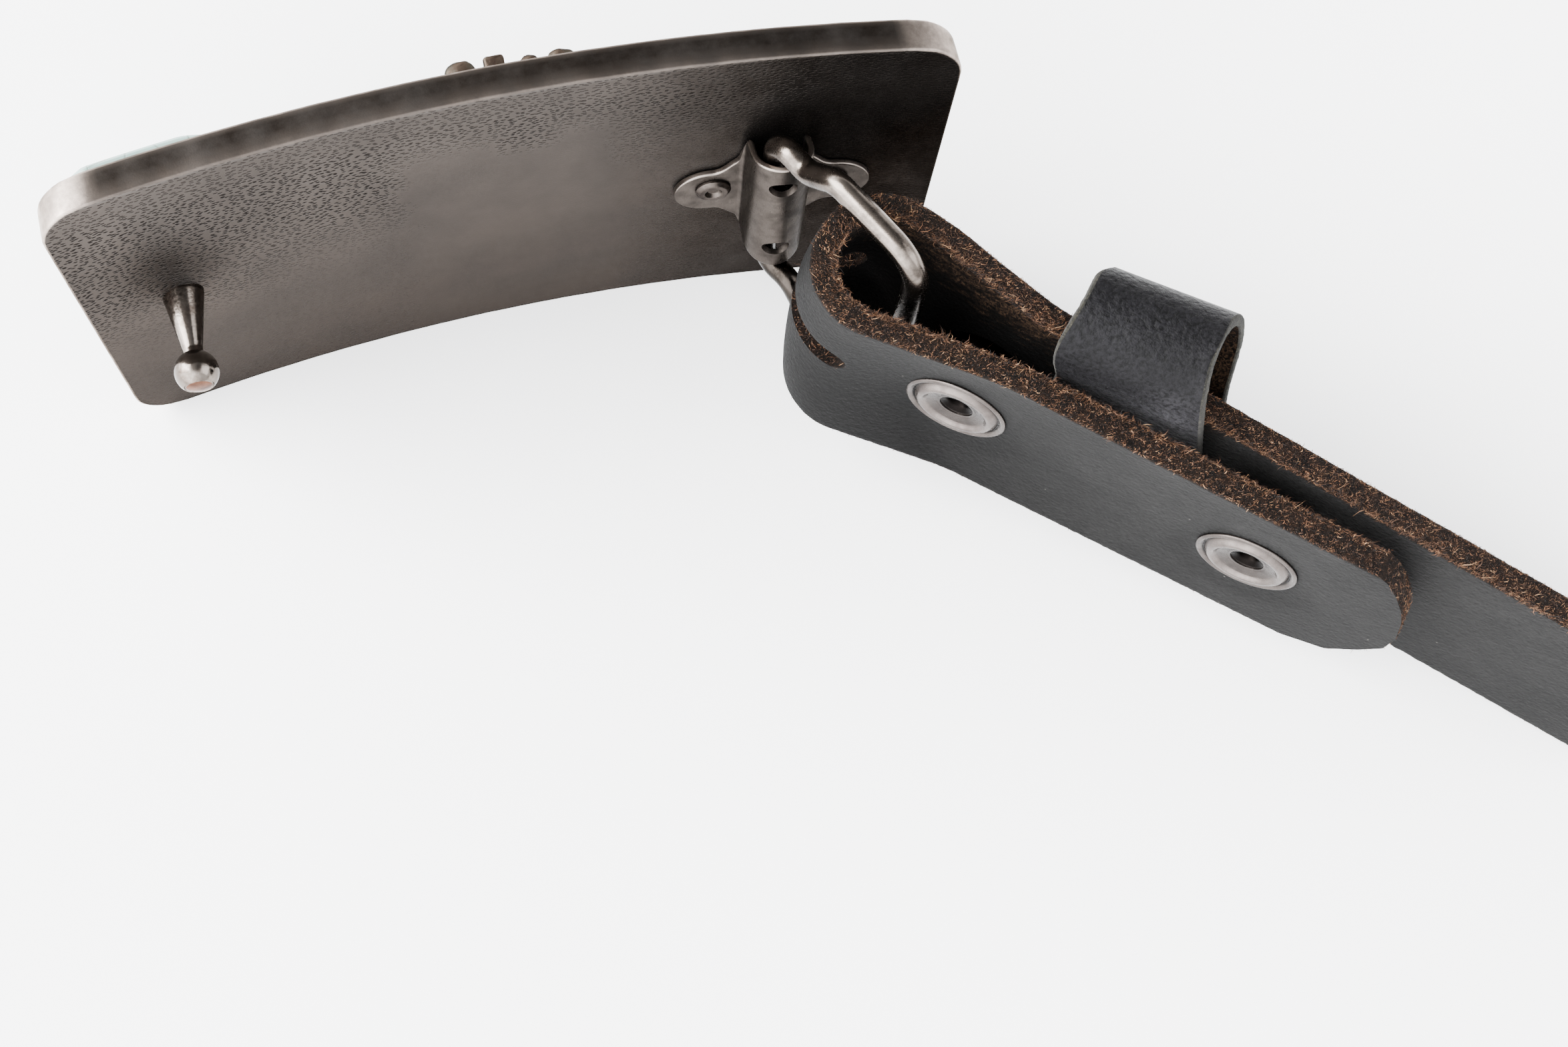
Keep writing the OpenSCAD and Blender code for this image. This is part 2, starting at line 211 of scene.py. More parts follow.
def add_piece(name, points, faces, materials, body, nodes=(), index=None, sharp=38, weld=False):
    """A mesh piece from points in millimetres, riding on its body and standing for its nodes."""
    mesh = bpy.data.meshes.new(name)
    mesh.from_pydata((points * MM).tolist(), [], faces)
    for m in materials:
        mesh.materials.append(m)
    if index is not None:
        mesh.polygons.foreach_set("material_index", np.asarray(index, np.int32))
    mesh.update()
    obj = add_object(name, mesh)
    if weld:
        close_ends(obj)
    obj.data.shade_smooth()
    obj.data.set_sharp_from_angle(angle=math.radians(sharp))
    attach(obj, body)
    if nodes:
        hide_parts(*nodes)
    return obj


def close_ends(obj):
    """Merges vertices that share a place, as where a profile meets its axis."""
    weld = obj.modifiers.new("weld", "WELD")
    weld.merge_threshold = 0.001 * MM
    graph = bpy.context.evaluated_depsgraph_get()
    mesh = bpy.data.meshes.new_from_object(obj.evaluated_get(graph))
    obj.modifiers.clear()
    obj.data = mesh


def paint(obj, **looks):
    """Stores values for each vertex of a piece, for its material."""
    for name, values in looks.items():
        stored = obj.data.attributes.new(name, "FLOAT", "POINT")
        stored.data.foreach_set("value", np.asarray(values, np.float32).ravel())


# ---- materials ----
class Look:
    """The nodes of a material or of the world, and short ways to add them."""

    def __init__(self, name, world=False):
        self.owner = (bpy.data.worlds if world else bpy.data.materials).new(name)
        self.owner.use_nodes = True
        self.tree = self.owner.node_tree
        self.shader = self.tree.nodes["Background" if world else "Principled BSDF"]
        self.coordinates = self.node("TexCoord").outputs
        self.place = self.coordinates["Object"]  # the piece's own, in metres

    def feed(self, socket, value):
        """Links or sets an input. A colour is three numbers, or one for a grey."""
        if isinstance(value, bpy.types.NodeSocket):
            self.tree.links.new(value, socket)
        else:
            socket.default_value = (*np.broadcast_to(value, 3), 1) if socket.type == "RGBA" else value

    def node(self, kind, inputs=None, **settings):
        made = self.tree.nodes.new("ShaderNode" + kind)
        for key, value in settings.items():
            setattr(made, key, value)
        for key, value in (inputs or {}).items():
            self.feed(made.inputs[key], value)
        return made

    def stretch(self, x, y, z, turn=(0, 0, 0)):
        return self.node("Mapping", {"Vector": self.place, "Scale": (x, y, z), "Rotation": turn}).outputs[0]

    def noise(self, scale, detail, roughness=0.5, vector=None, distortion=0.0):
        return self.node("TexNoise", {
            "Vector": vector or self.place, "Scale": scale, "Detail": detail,
            "Roughness": roughness, "Distortion": distortion}).outputs["Fac"]

    def cells(self, scale, vector=None, feature="F1", dimensions="3D"):
        return self.node("TexVoronoi", {"Vector": vector or self.place, "Scale": scale},
                         feature=feature, voronoi_dimensions=dimensions).outputs["Distance"]

    def attribute(self, name):
        return self.node("Attribute", attribute_name=name).outputs["Fac"]

    def between(self, value, low, high, to_low=0.0, to_high=1.0, **settings):
        return self.node("MapRange", {
            "Value": value, "From Min": low, "From Max": high, "To Min": to_low, "To Max": to_high},
            clamp=True, **settings).outputs["Result"]

    def math(self, operation, a, b):
        return self.node("Math", {0: a, 1: b}, operation=operation).outputs[0]

    def times(self, a, b):
        return self.math("MULTIPLY", a, b)

    def plus(self, a, b):
        return self.math("ADD", a, b)

    def mix(self, colour, *layers):
        """A colour with others laid over it, each by its share."""
        for share, over in layers:
            colour = self.node("Mix", {0: share, 6: colour, 7: over}, data_type="RGBA").outputs[2]
        return colour

    def bump(self, height, depth, strength, normal=None):
        inputs = {"Height": height, "Distance": depth * MM, "Strength": strength}
        if normal:
            inputs["Normal"] = normal
        return self.node("Bump", inputs).outputs["Normal"]

    def finish(self, **inputs):
        for key, value in inputs.items():
            self.feed(self.shader.inputs[key.replace("_", " ")], value)
        return self.owner


def metal(name, light, dark, roughness, spread=0.1, tarnish=(0.45, 0.7), grain=(1, 1, 1), scratch=0.02,
          speckle=0.25, glance=0.8):
    """Worn metal: darker tarnish in soft patches, small specks, and fine scratches along its grain."""
    look = Look(name)
    patches = look.noise(420, 5, 0.6)
    fine = look.noise(2600, 3, 0.6, look.stretch(*grain))
    share = look.between(patches, *tarnish)
    speck = look.between(look.noise(3200, 2, 0.7), 0.62, 0.75)
    # painted shade takes a piece's colour to near black where the piece sets it, and a painted highlight
    # makes the colour three times lighter where the piece sets that
    colour = look.mix(light, (share, dark), (look.times(speck, speckle), dark),
                      (look.attribute("soil"), tuple(v * 0.05 for v in dark)),
                      (look.attribute("bright"), tuple(v * 3 for v in light)))
    rough = look.between(fine, 0.3, 0.7, roughness - spread, roughness + spread)
    rough = look.plus(rough, look.times(share, 0.08))
    return look.finish(
        Base_Color=colour, Metallic=1.0, Roughness=rough, Specular_Tint=glance,
        Normal=look.bump(fine, scratch, 0.5, look.bump(patches, 0.05, 0.2)))


def plate_look():
    """Antique nickel with a cast skin of fine dark dashes, darker patches with painted shade above the stud's
    foot, and bright where it is worn, with a painted highlight at the left end.
    """
    look = Look("antique_nickel_cast")
    cloud = look.noise(55, 4, 0.55)
    drift = look.node("TexNoise", {"Vector": look.place, "Scale": 520.0, "Detail": 2.0}).outputs["Color"]
    drift = look.node("VectorMath", {0: drift, "Scale": 0.0007}, operation="SCALE").outputs["Vector"]
    flat = look.stretch(1.05, 1.0, 2.1, (math.pi / 2, 0, 0))
    warp = look.node("VectorMath", {0: flat, 1: drift}).outputs["Vector"]
    pits = look.between(look.cells(1120, warp, dimensions="2D"), 0.2, 0.37, 1.0, 0.0)
    pits = look.times(pits, look.attribute("skin"))
    fine = look.noise(5200, 2, 0.6)
    smoke = look.between(look.noise(190, 6, 0.65), 0.35, 0.62, 0.68, 1.0)
    # darker towards the bracket and on the edge, with painted shade above the stud's foot
    smoke = look.times(look.attribute("patina"), smoke)
    blotch = look.between(look.noise(380, 6, 0.7), 0.4, 0.62)
    # worn bright, with a painted highlight along the left end
    worn = look.times(look.attribute("wear"), look.plus(look.times(blotch, 0.5), 0.55))
    worn = look.node("Clamp", {"Value": worn}).outputs[0]
    colour = look.mix((0.074, 0.0675, 0.063), (look.between(cloud, 0.35, 0.7), (0.052, 0.0475, 0.0445)),
                      (look.times(pits, 0.76), (0.006, 0.0055, 0.0055)), (smoke, (0.013, 0.0105, 0.0088)),
                      (worn, (0.36, 0.30, 0.26)))
    glance = look.mix((0.24, 0.225, 0.215), (smoke, 0.03), (worn, (0.9, 0.88, 0.85)))
    rough = look.between(look.plus(cloud, look.times(fine, 0.3)), 0.4, 0.95, 0.34, 0.5)
    normal = look.bump(look.math("SUBTRACT", 1.0, pits), 0.07, 0.7, look.bump(fine, 0.02, 0.5))
    return look.finish(Base_Color=colour, Metallic=1.0, Roughness=rough, Specular_Tint=glance, Normal=normal)


def glaze_look():
    """Pale green-blue crackle glaze, lighter where it pools along the edges."""
    look = Look("glazed_ceramic_crackle")
    flow = look.noise(90, 5, 0.6)
    fissure = look.between(look.cells(230, feature="DISTANCE_TO_EDGE"), 0.0, 0.035, 1.0, 0.0)
    colour = look.mix((0.05, 0.165, 0.158), (look.between(flow, 0.3, 0.7), (0.15, 0.27, 0.245)),
                      (look.times(look.attribute("pool"), 0.75), (0.24, 0.32, 0.29)),
                      (look.times(fissure, 0.55), (0.03, 0.038, 0.028)))
    rough = look.between(look.noise(700, 3), 0.3, 0.7, 0.12, 0.3)
    return look.finish(
        Base_Color=colour, Roughness=rough, Coat_Weight=0.5, Coat_Roughness=0.08,
        Normal=look.bump(look.math("SUBTRACT", flow, look.times(fissure, 0.3)), 0.15, 0.7))


def bronze_look():
    """Dark bronze with rubbed heights and a greenish bloom."""
    look = Look("antique_bronze_relief")
    lump = look.noise(900, 5, 0.65)
    bloom = look.between(look.noise(350, 4, 0.6), 0.52, 0.7)
    high = look.between(look.node("NewGeometry").outputs["Pointiness"], 0.52, 0.6)
    colour = look.mix((0.008, 0.0054, 0.0042), (lump, (0.03, 0.021, 0.016)),
                      (look.times(bloom, 0.5), (0.03, 0.05, 0.045)),
                      (look.times(high, 0.8), (0.12, 0.092, 0.07)))
    rough = look.between(lump, 0.3, 0.7, 0.35, 0.6)
    return look.finish(Base_Color=colour, Metallic=0.9, Roughness=rough, Specular_Tint=0.3,
                       Specular_IOR_Level=0.2, Normal=look.bump(lump, 0.12, 0.8))


def leather_look(name, tone, dust, roughness, grain, depth, shine):
    """Black leather face: fine pebbled grain, soft sheen, dusty streaks (a painted sheen where a piece sets
    it, as on the keeper) and a few pale specks.
    """
    look = Look(name)
    pebble = look.cells(grain, feature="SMOOTH_F1")
    pore = look.noise(grain * 1.7, 4, 0.62)
    broad = look.noise(70, 4, 0.6)
    streak = look.noise(300, 3, 0.6, look.stretch(0.35, 1.0, 1.0, (0, 0, math.radians(38))))
    # lighter where the piece sets it: dust on the strap, a painted sheen on the keeper
    share = look.between(look.plus(broad, look.times(streak, 0.6)), 0.6, 1.05, 0.35, 1.0)
    share = look.times(share, look.attribute("dust"))
    fleck = look.between(look.cells(240), 0.02, 0.035, 1.0, 0.0)
    # the flesh side inside the loops is painted near black as painted shade and loses its reflection, with
    # brown fuzz towards the cut edge
    flesh, nap = look.attribute("flesh"), look.between(look.noise(1700, 5, 0.75, None, 1.5), 0.45, 0.62)
    nap = look.mix((0.002, 0.0016, 0.0014), (nap, (0.024, 0.0145, 0.009)))
    colour = look.mix(tone, (share, dust), (look.between(pore, 0.38, 0.56, 0.8, 0.0), 0.0008),
                      (look.times(fleck, 0.5), (0.12, 0.115, 0.105)), (flesh, (0.0012, 0.0011, 0.001)),
                      (look.attribute("fuzz"), nap))
    rough = look.between(pore, 0.3, 0.7, roughness - 0.08, roughness + 0.1)
    shine = look.between(flesh, 0.0, 1.0, shine, 0.0)
    normal = look.bump(pebble, depth, 0.5, look.bump(pore, depth, 0.7, look.bump(streak, 0.1, 0.35)))
    return look.finish(Base_Color=colour, Roughness=rough, Specular_IOR_Level=shine, Sheen_Weight=0.01,
                       Sheen_Roughness=0.45, Normal=normal)


def raw_look(name, deep, rust, pale, depth, sheen):
    """Cut leather: short matted fibres in dark and rusty browns."""
    look = Look(name)
    mat = look.noise(1500, 6, 0.75, None, 1.2)
    clump = look.noise(620, 4, 0.65)
    hair = look.noise(3600, 3, 0.7, None, 2.0)
    colour = look.mix(deep, (look.between(clump, 0.42, 0.68), rust), (look.between(hair, 0.56, 0.7), pale),
                      (look.between(mat, 0.36, 0.54, 0.9, 0.0), tuple(v * 0.25 for v in deep)))
    height = look.plus(mat, look.times(hair, 0.5))
    return look.finish(Base_Color=colour, Roughness=0.9, Specular_IOR_Level=0.05, Sheen_Weight=sheen,
                       Sheen_Roughness=0.6, Normal=look.bump(height, depth, 0.9))


def fibres_look():
    """Single fibres from near black over rust to a few pale ones."""
    look = Look("strap_fibres")
    shade = look.attribute("shade")
    dull = look.between(look.noise(900, 3, 0.6), 0.4, 0.6, 0.0, 0.4)
    colour = look.mix((0.003, 0.002, 0.0015), (look.between(shade, 0.3, 0.72), (0.098, 0.043, 0.0195)),
                      (look.between(shade, 0.74, 0.95), (0.29, 0.175, 0.094)), (dull, (0.01, 0.006, 0.0045)))
    return look.finish(Base_Color=colour, Roughness=0.75, Specular_IOR_Level=0.25)


def floor_look():
    look = Look("pale_floor")
    colour = look.mix(0.945, (look.noise(6, 3, 0.5), 0.965))
    return look.finish(Base_Color=colour, Roughness=0.55, Specular_IOR_Level=0.3)


plate_metal = plate_look()
glaze = glaze_look()
bronze = bronze_look()
wire_metal = metal("polished_wire_worn", (0.14, 0.119, 0.102), (0.04, 0.033, 0.028), 0.2, 0.06,
                   tarnish=(0.46, 0.7), grain=(2.2, 2.2, 2.2), scratch=0.012, speckle=0.3)
stud_metal = metal("polished_stud_worn", (0.16, 0.138, 0.12), (0.05, 0.036, 0.028), 0.16, 0.06,
                   tarnish=(0.46, 0.7))
copper_metal = metal("coppery_worn_cap", (0.12, 0.058, 0.038), (0.045, 0.022, 0.015), 0.28, 0.08)
bracket_metal = metal("brushed_bracket_satin", (0.068, 0.058, 0.051), (0.031, 0.0265, 0.0235), 0.32, 0.08,
                      tarnish=(0.4, 0.7), grain=(4, 4, 0.5), glance=0.5)
rivet_metal = metal("rivet_metal_worn", (0.05, 0.042, 0.037), (0.016, 0.013, 0.012), 0.36, glance=0.5)
snap_metal = metal("snap_nickel_satin", (0.1, 0.086, 0.079), (0.062, 0.052, 0.048), 0.28, 0.06)
strap_face = leather_look("strap_leather_grain", 0.0026, (0.0108, 0.0106, 0.0104),
                          roughness=0.6, grain=1500, depth=0.13, shine=0.024)
keeper_face = leather_look("keeper_leather_smooth", (0.0009, 0.0008, 0.0011), (0.028, 0.027, 0.0298),
                           roughness=0.4, grain=1200, depth=0.32, shine=0.05)
strap_raw = raw_look("strap_raw_edge", (0.002, 0.0015, 0.0012), (0.009, 0.0046, 0.0026), (0.035, 0.02, 0.012),
                     depth=0.25, sheen=0.012)
keeper_raw = raw_look("keeper_raw_edge", (0.006, 0.0057, 0.0045), (0.019, 0.0176, 0.0132),
                      (0.06, 0.055, 0.041), depth=0.12, sheen=0.05)
fibre_look = fibres_look()


# ---- the plate, its glazed tile and the ornament ----
def slab_point(a, b, inset, depth):
    """A point of the plate: a and b run from -1 to 1 inside its outline, which is set in by inset, and depth
    is measured from its back."""
    half_x, half_z = LENGTH / 2 - inset, HEIGHT / 2 - inset
    radius = np.maximum(CORNER - inset, 0.4)
    z = b * half_z
    over = np.clip(np.abs(z) - (half_z - radius), 0, radius)
    reach = half_x - radius + np.sqrt(np.maximum(radius**2 - over**2, 0))
    x = a * reach
    y = np.sqrt((BACK_RADIUS + depth) ** 2 - x**2) - BACK_RADIUS
    return np.stack(np.broadcast_arrays(x, y, z + HEIGHT / 2), -1)


def slab(steps, columns=150, rows=84):
    """A closed slab: a grid for its first face, loops at (inset, depth) steps, and a grid for its last.
    Returns its points and faces, and the vertices of each loop."""
    a, even = np.linspace(-1, 1, columns), np.linspace(-1, 1, rows)[:, None]
    # rows are closer together at the rounded corners
    b = 0.35 * np.sin(even * math.pi / 2) + 0.65 * even
    place = np.arange(rows * columns).reshape(rows, columns)
    around = np.concatenate([place[0], place[1:, -1], place[-1, -2::-1], place[-2:0:-1, 0]])
    flat_a, flat_b = (np.broadcast_to(v, (rows, columns)).ravel()[around] for v in (a, b))
    first, final = (slab_point(a, b, *s).reshape(-1, 3) for s in (steps[0], steps[-1]))
    loops = [slab_point(flat_a, flat_b, *s) for s in steps[1:-1]]
    size, count = place.size, len(around)
    last = size + len(loops) * count
    rings = [around, *(size + k * count + np.arange(count) for k in range(len(loops))), last + around]
    faces = grid(rows, columns)
    for low, high in zip(rings[:-1], rings[1:]):
        faces += np.stack([low, high, np.roll(high, -1), np.roll(low, -1)], 1).tolist()
    faces += [f[::-1] for f in grid(rows, columns, start=last)]
    return np.concatenate([first, *loops, final]), faces, rings


def worn_wave(points, scale, seed):
    """A slow pseudo-random value from -1 to 1 at each point, for uneven wear."""
    x, _, z = points.T
    total = 0
    for k, (s, t, _) in enumerate(np.random.default_rng(seed).uniform(0, 6.28, (4, 3))):
        f = scale * (1 + 0.7 * k)
        total = total + np.sin(x * f + s) * np.sin(z * f * 1.3 + t) / (1 + 0.5 * k)
    return total / 2.2


def make_plate():
    t = THICK
    steps = [(0.36, 0), (0.2, 0.04), (0.07, 0.15), (0.01, 0.35), (0, 1), (0, 2.1), (0, 3.2), (0.01, t - 0.4),
             (0.08, t - 0.17), (0.22, t - 0.05), (0.42, t), (RIM - 0.3, t), (RIM, t - 0.25), (RIM, t - SEAT)]
    points, faces, rings = slab(steps)
    x, y, z = points.T
    up = z / HEIGHT
    on_edge = np.zeros(len(points))
    on_edge[np.concatenate(rings[1:11])] = 1.0
    # worn bright along the edge's two borders and at the corners, and a painted highlight along the left end,
    # which faces the light
    depth = np.hypot(x, y + BACK_RADIUS) - BACK_RADIUS
    out, high = np.abs(x), np.abs(z - HEIGHT / 2)
    rim = 0.06 * np.exp(-((depth - 0.12) / 0.14) ** 2) + 0.17 * np.exp(-((depth / 1.1) ** 2)) \
        + 0.6 * np.exp(-((depth - t + 0.12) / 0.2) ** 2)
    rim = rim * (0.5 + 0.5 * (0.5 + 0.5 * worn_wave(points, 0.35, 3)))
    corner = smooth(LENGTH / 2 - 8, LENGTH / 2 - 4.5, out)
    corner = corner * smooth(HEIGHT / 2 - 7.5, HEIGHT / 2 - 5, high)
    # painted highlight: the left end is made ten times brighter than the right
    end = np.where(x > 0, 0.05, 0.5) * smooth(LENGTH / 2 - 1, LENGTH / 2 - 0.3, out)
    wear = on_edge * np.clip(rim + 0.75 * corner + end, 0, 1.2)
    # the dashes are dense along the top and fade out towards the middle and the lower edge
    dense = up + 0.08 * worn_wave(points, 0.12, 5) - 0.004 * (x + 50)
    skin = 0.1 + 0.9 * smooth(0.3, 0.62, dense)
    bare = smooth(-16, -12, x + 3 * worn_wave(points, 0.3, 15)) * smooth(0.92, 0.78, up)
    skin = skin * (1 - 0.93 * bare * (1 - smooth(10, 19, x)))
    skin = skin * (1 - 0.45 * smooth(0.86, 0.97, up))
    skin = np.maximum(skin, np.exp(-((x - 2) / 4) ** 4 - ((up - 0.85) / 0.08) ** 4))
    skin = skin * (1 - on_edge)
    # darker towards the bracket, painted shade above the stud's foot, and duller on the edge
    behind = smooth(8, 34, x) * (0.55 + 0.25 * up)
    above = np.exp(-((x - STUD_X) / 5) ** 2 - ((z - HARDWARE_Z - 8) / 6) ** 2)
    patina = np.clip(np.maximum(behind, 0.6 * above) * (1 - on_edge) + 0.97 * on_edge, 0, 1)
    z += 0.05 * worn_wave(points, 0.6, 9) * on_edge
    obj = add_piece("plate_cast", points, faces, [plate_metal], "buckle", ["plate"],
                    sharp=50)
    paint(obj, wear=wear, skin=skin, patina=patina)


def make_tile():
    low, side, top = THICK - SEAT + PLAY, RIM + PLAY, THICK + PROUD
    steps = [(side + 0.4, low), (side, low + 0.4), (side, THICK - 0.1), (side, THICK + 0.25),
             (side + 0.18, top - 0.28), (side + 0.5, top - 0.06), (side + 1.1, top + 0.02), (side + 2.2, top)]
    points, faces, _ = slab(steps)
    x, y, z = points.T
    inward = np.minimum(LENGTH / 2 - side - np.abs(x), HEIGHT / 2 - side - np.abs(z - HEIGHT / 2))
    wave = worn_wave(points, 0.23, 21) * smooth(0.5, 4, inward)
    front = y > back_y(x) + THICK + 0.2
    # the glaze is thicker along the upper edge at the left
    swell = smooth(-52, -47, x) * (1 - smooth(-37, -31, x)) * np.exp(-((HEIGHT - side - z) / 2.2) ** 2)
    y += np.where(front, 0.07 * wave + 0.9 * swell, 0)
    z += 0.6 * swell * front
    obj = add_piece("tile_glazed", points, faces, [glaze], "buckle", ["ceramic_tile"],
                    sharp=60)
    paint(obj, pool=np.exp(-np.maximum(inward, 0) / 1.6))


def blob(half, power, rows=14, columns=20):
    """A rounded shape with these half sizes: an ellipsoid at power 1, nearer to a box at less."""
    v = np.linspace(-math.pi / 2, math.pi / 2, rows)[:, None]
    h = np.linspace(0, 2 * math.pi, columns, endpoint=False)

    def soft(s):
        return np.sign(s) * np.abs(s) ** power

    flat, turn = soft(np.cos(v)), (soft(np.cos(h)), soft(np.sin(h)))
    shape = np.stack(np.broadcast_arrays(flat * turn[0], flat * turn[1], soft(np.sin(v))), -1) * half
    return shape.reshape(-1, 3), grid(rows, columns, wrap_columns=True)


def make_ornament():
    """A round relief: a border of blocks, mounds and beads, and a boss in a ring of domes."""
    foot = THICK + PROUD + 0.05
    dome, bead = np.radians(np.linspace(90, 36, 14)), np.radians(np.linspace(170, 10, 9))
    profile = np.concatenate([
        np.stack([7.6 * np.cos(dome), 7.2 * np.sin(dome) - 2.8], 1), [[6.6, 1.05], [7.2, 0.9], [16.9, 0.9]],
        np.stack([18.2 + 0.9 * np.cos(bead), 0.95 + 0.85 * np.sin(bead)], 1),
        [[19.6, 0.9], [22.4, 0.9], [23.1, 0.75], [23.4, 0.4], [23.4, 0], [0, 0]]])
    # each part: its shape, its turn round the middle, its distance from there and its lift
    parts = [(lathe(profile, 120), 0, 0, 0)]
    for k in range(12):
        for half, power, turn, out in (
                ((1.25, 1.6, 1.42), 0.3, 0, 23.4), ((1.9, 1.8, 1.7), 0.75, -10, 23.2),
                ((1.3, 1.3, 1.35), 0.95, 10, 23.6)):
            parts.append((blob(half, power), 30 * k + turn, out, half[2]))
    for k in range(8):
        parts.append((blob((2.6, 2.6, 2.2), 0.95, 18, 28), 45 * k + 22.5, 11.2, 1.2))
    points, faces, total = [], [], 0
    for (shape, quads), angle, out, lift in parts:
        x, z, y = put(turned(-angle, "Z"), shape + [0, out, lift]).T
        points.append(np.stack([x, y + foot + back_y(x), z + HEIGHT / 2], 1))
        faces += [[v + total for v in f[::-1]] for f in quads]
        total += len(shape)
    points = np.concatenate(points)
    # a slightly rough cast skin
    points += rng.normal(0, 0.03, points.shape) * (points[:, 1] > foot + 0.5 + back_y(points[:, 0]))[:, None]
    add_piece("ornament_relief", points, faces, [bronze], "buckle", ["ornament"], sharp=50,
              weld=True)


# ---- hook stud ----
def at_back(x, z):
    """On the plate's back at x, z pointing out of it."""
    return moved(x, back_y(x), z) @ turned(90, "X")


def make_stud():
    neck = [[2.6, -0.6, 0], [2.55, 0.15, 0.1], [1.22, 7.4, 2.0], [1.22, 8.3, 0]]
    ball = np.radians(np.linspace(-61, 47, 26))
    ball = np.stack([2.7 * np.cos(ball), 10.4 + 2.7 * np.sin(ball)], 1)
    cap = [[1.74, 12.26], [1.6, 12.42], [1.3, 12.56], [0.6, 12.66], [0, 12.68]]
    profile = np.concatenate([[[0, -0.6]], fillet(neck, [1, 4, 8, 1], [1, 14, 1]), ball, cap])
    points, faces = lathe(profile, 64)
    coppery = np.repeat(np.arange(len(profile) - 1) > len(profile) - len(cap), 64)
    points = put(at_back(STUD_X, HARDWARE_Z + 0.4), points)
    add_piece("stud_turned", points, faces, [stud_metal, copper_metal], "buckle",
              ["hook_stud"], index=coppery, weld=True)


# ---- hinge bracket and its rivets ----
def flange_edge(x, up):
    """Height of the flange's upper or lower outline over its middle, by distance from the barrel."""
    sign, start, flare = (1, 2.8, 3.0) if up else (-1, -6.6, 2.6)
    ear = sign * np.sqrt(np.maximum(EAR_RADIUS**2 - np.maximum(x - EAR_REACH, 0) ** 2, 0)) - EAR_DROP
    neck = start + sign * flare * (1 - smooth(4.0, EAR_REACH, x)) ** 1.4
    return np.where(x > EAR_REACH, ear, neck)


def make_bracket():
    """One folded sheet: a barrel with two windows, whose walls narrow, and an ear on each side."""
    middle, tip = BARREL_INNER + SHEET / 2, EAR_REACH + EAR_RADIUS

    def foot(x):
        return back_y(BARREL[0] + x) - BARREL[1] - 0.1 - SHEET / 2

    rows = [[-tip, foot(-tip), 0], [-middle, foot(-middle), 1.0], [-middle, -middle, middle - 0.01],
            [middle, -middle, middle - 0.01], [middle, foot(middle), 1.0], [tip, foot(tip), 0]]
    path = fillet(rows, [1, 8, 22, 22, 8, 1], [36, 5, 0, 5, 36])
    # closer samples at the round tips of the ears
    start = middle + 1.0
    share = np.clip((np.abs(path[:, 0]) - start) / (tip - start), 0, 1)
    flank = share > 0
    closer = np.sign(path[:, 0]) * (start + (tip - start) * (1 - (1 - share) ** 1.9))
    path[:, 0] = np.where(flank, closer, path[:, 0])
    path[:, 1] = np.where(flank, foot(path[:, 0]), path[:, 1])
    x = np.abs(path[:, 0])
    wall = 14 - 3.2 * (path[:, 1] + 4.9) / 7.9
    flange = smooth(middle + 0.05, middle + 1.1, x)
    top = wall * (1 - flange) + flange_edge(x, True) * flange
    low = -wall * (1 - flange) + flange_edge(x, False) * flange
    across, radius = 90, 0.24
    columns = section(across, 4)
    half, centre = (top - low) / 2, (top + low) / 2
    z = centre[:, None] + columns[:, 0] * np.maximum(half - radius, 0)[:, None] \
        + columns[:, 1] * np.minimum(radius, half)[:, None]
    d = offsets(columns, 2, SHEET / 2, radius)
    flat = path[:, None] + side_of(path)[:, None] * d[:, None]
    points = np.concatenate([flat + BARREL, (z + HARDWARE_Z)[..., None]], -1)

    def window(p, q):
        """Outside the two windows in the barrel's front."""
        return np.hypot(p, np.abs(q) - WINDOW_UP) - WINDOW_RADIUS

    reach = lengths(path)
    reach = (reach - reach[-1] / 2)[:, None] + 0 * z
    points, kept, lining = pierce(points, across, window, (reach, z))
    order = np.arange(z.size).reshape(z.shape)
    faces = [f for f in kept if f] + lining + [order[0, ::-1].tolist(), order[-1].tolist()]
    obj = add_piece("bracket_sheet", points.reshape(-1, 3), faces, [bracket_metal], "buckle",
                    ["bracket"], sharp=45)
    # painted highlight: the sheet's cut edges are made lighter
    paint(obj, bright=np.tile(0.7 * (columns[:, 4] == 0), len(path)))


def make_rivets():
    rows = lifted([[2.3, 0.15, 0], [2.3, 0.45, 0.15], [1.85, 0.9, 0.4], [1.15, 0.9, 0.25], [0.75, 0.4, 0.3],
                   [0, 0.35, 0]], SHEET)
    points, faces = lathe(fillet(rows, [1, 4, 6, 5, 5, 1], [1, 2, 1, 2, 2]), 48)
    for side, name in ((-1, "left"), (1, "right")):
        x = BARREL[0] + side * RIVET_REACH
        place = at_back(x, HARDWARE_Z - RIVET_DROP) @ turned(-math.degrees(math.asin(x / BACK_RADIUS)), "Y")
        add_piece(f"rivet_head_{name}", put(place, points), faces, [rivet_metal], "buckle",
                  [f"rivet_{name}"], weld=True)


